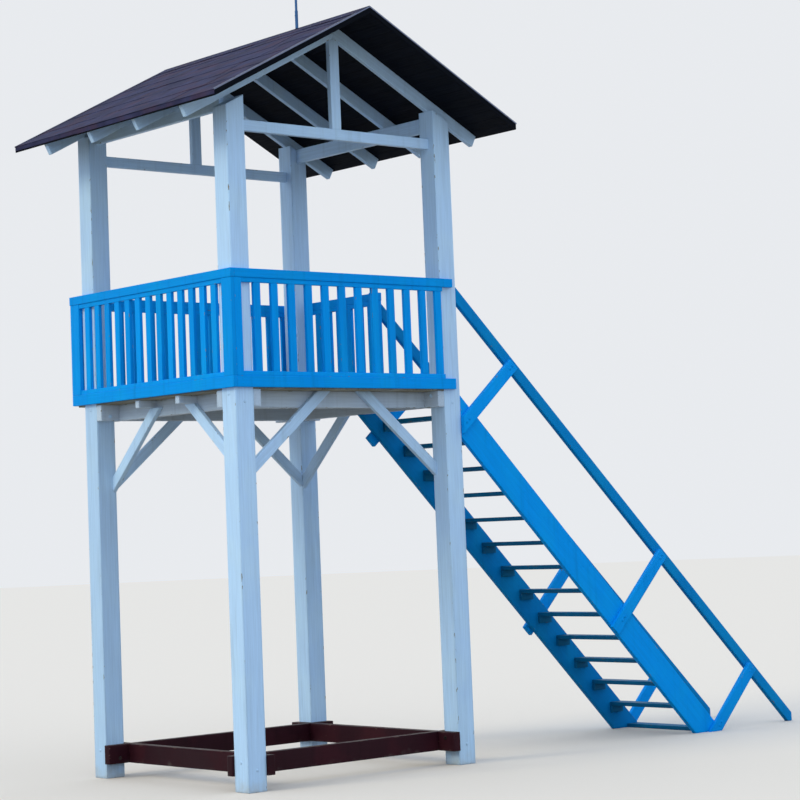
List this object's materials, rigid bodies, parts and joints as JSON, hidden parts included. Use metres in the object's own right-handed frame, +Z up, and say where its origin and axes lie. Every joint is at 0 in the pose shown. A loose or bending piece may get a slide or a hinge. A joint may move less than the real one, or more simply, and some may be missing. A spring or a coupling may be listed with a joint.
{
  "type": "lifeguard tower",
  "caption": "Open timber beach tower: square posts on crossed foot beams, a railed deck on knee braces, a gable roof and a straight open stair with handrails",
  "frame": {"origin": "on the ground, in the middle of the tower's whole plan, stair and eaves included", "axes": "+X along the front towards the foot of the stair, +Y from the front gable to the back, +Z up"},
  "size_m": [7.7, 3.29, 8.28],
  "materials": {
    "white_paint": "painted, worn",
    "blue_paint": "painted, satin",
    "base_paint": "stained, matte",
    "deck_boards": "bare, weathered",
    "roof_covering": "matte",
    "mast_paint": "satin"
  },
  "bodies": {
    "root": {"base_beam_back": "base_paint", "base_beam_front": "base_paint", "base_beam_left": "base_paint", "base_beam_right": "base_paint", "brace_back_left": "white_paint", "brace_back_right": "white_paint", "brace_front_left": "white_paint", "brace_front_right": "white_paint", "brace_left_back": "white_paint", "brace_left_front": "white_paint", "brace_right_back": "white_paint", "deck_beam_back": "white_paint", "deck_beam_front": "white_paint", "deck_beam_left": "white_paint", "deck_beam_right": "white_paint", "deck_boards": "deck_boards", "deck_joists": "white_paint", "gate_post": "blue_paint", "handrail_far": "blue_paint", "handrail_near": "blue_paint", "king_posts": "white_paint", "mast": "mast_paint", "post_back_left": "white_paint", "post_back_right": "white_paint", "post_front_left": "white_paint", "post_front_right": "white_paint", "rafters_left": "white_paint", "rafters_right": "white_paint", "railing_back": "blue_paint", "railing_corners": "blue_paint", "railing_front": "blue_paint", "railing_left": "blue_paint", "railing_right": "blue_paint", "roof_left": "roof_covering", "roof_right": "roof_covering", "stringer_far": "blue_paint", "stringer_near": "blue_paint", "struts_far": "blue_paint", "struts_near": "blue_paint", "tie_beam_back": "white_paint", "tie_beam_front": "white_paint", "top_plates": "white_paint", "tread_cleats": "blue_paint", "treads": "blue_paint"}
  },
  "joints": []
}
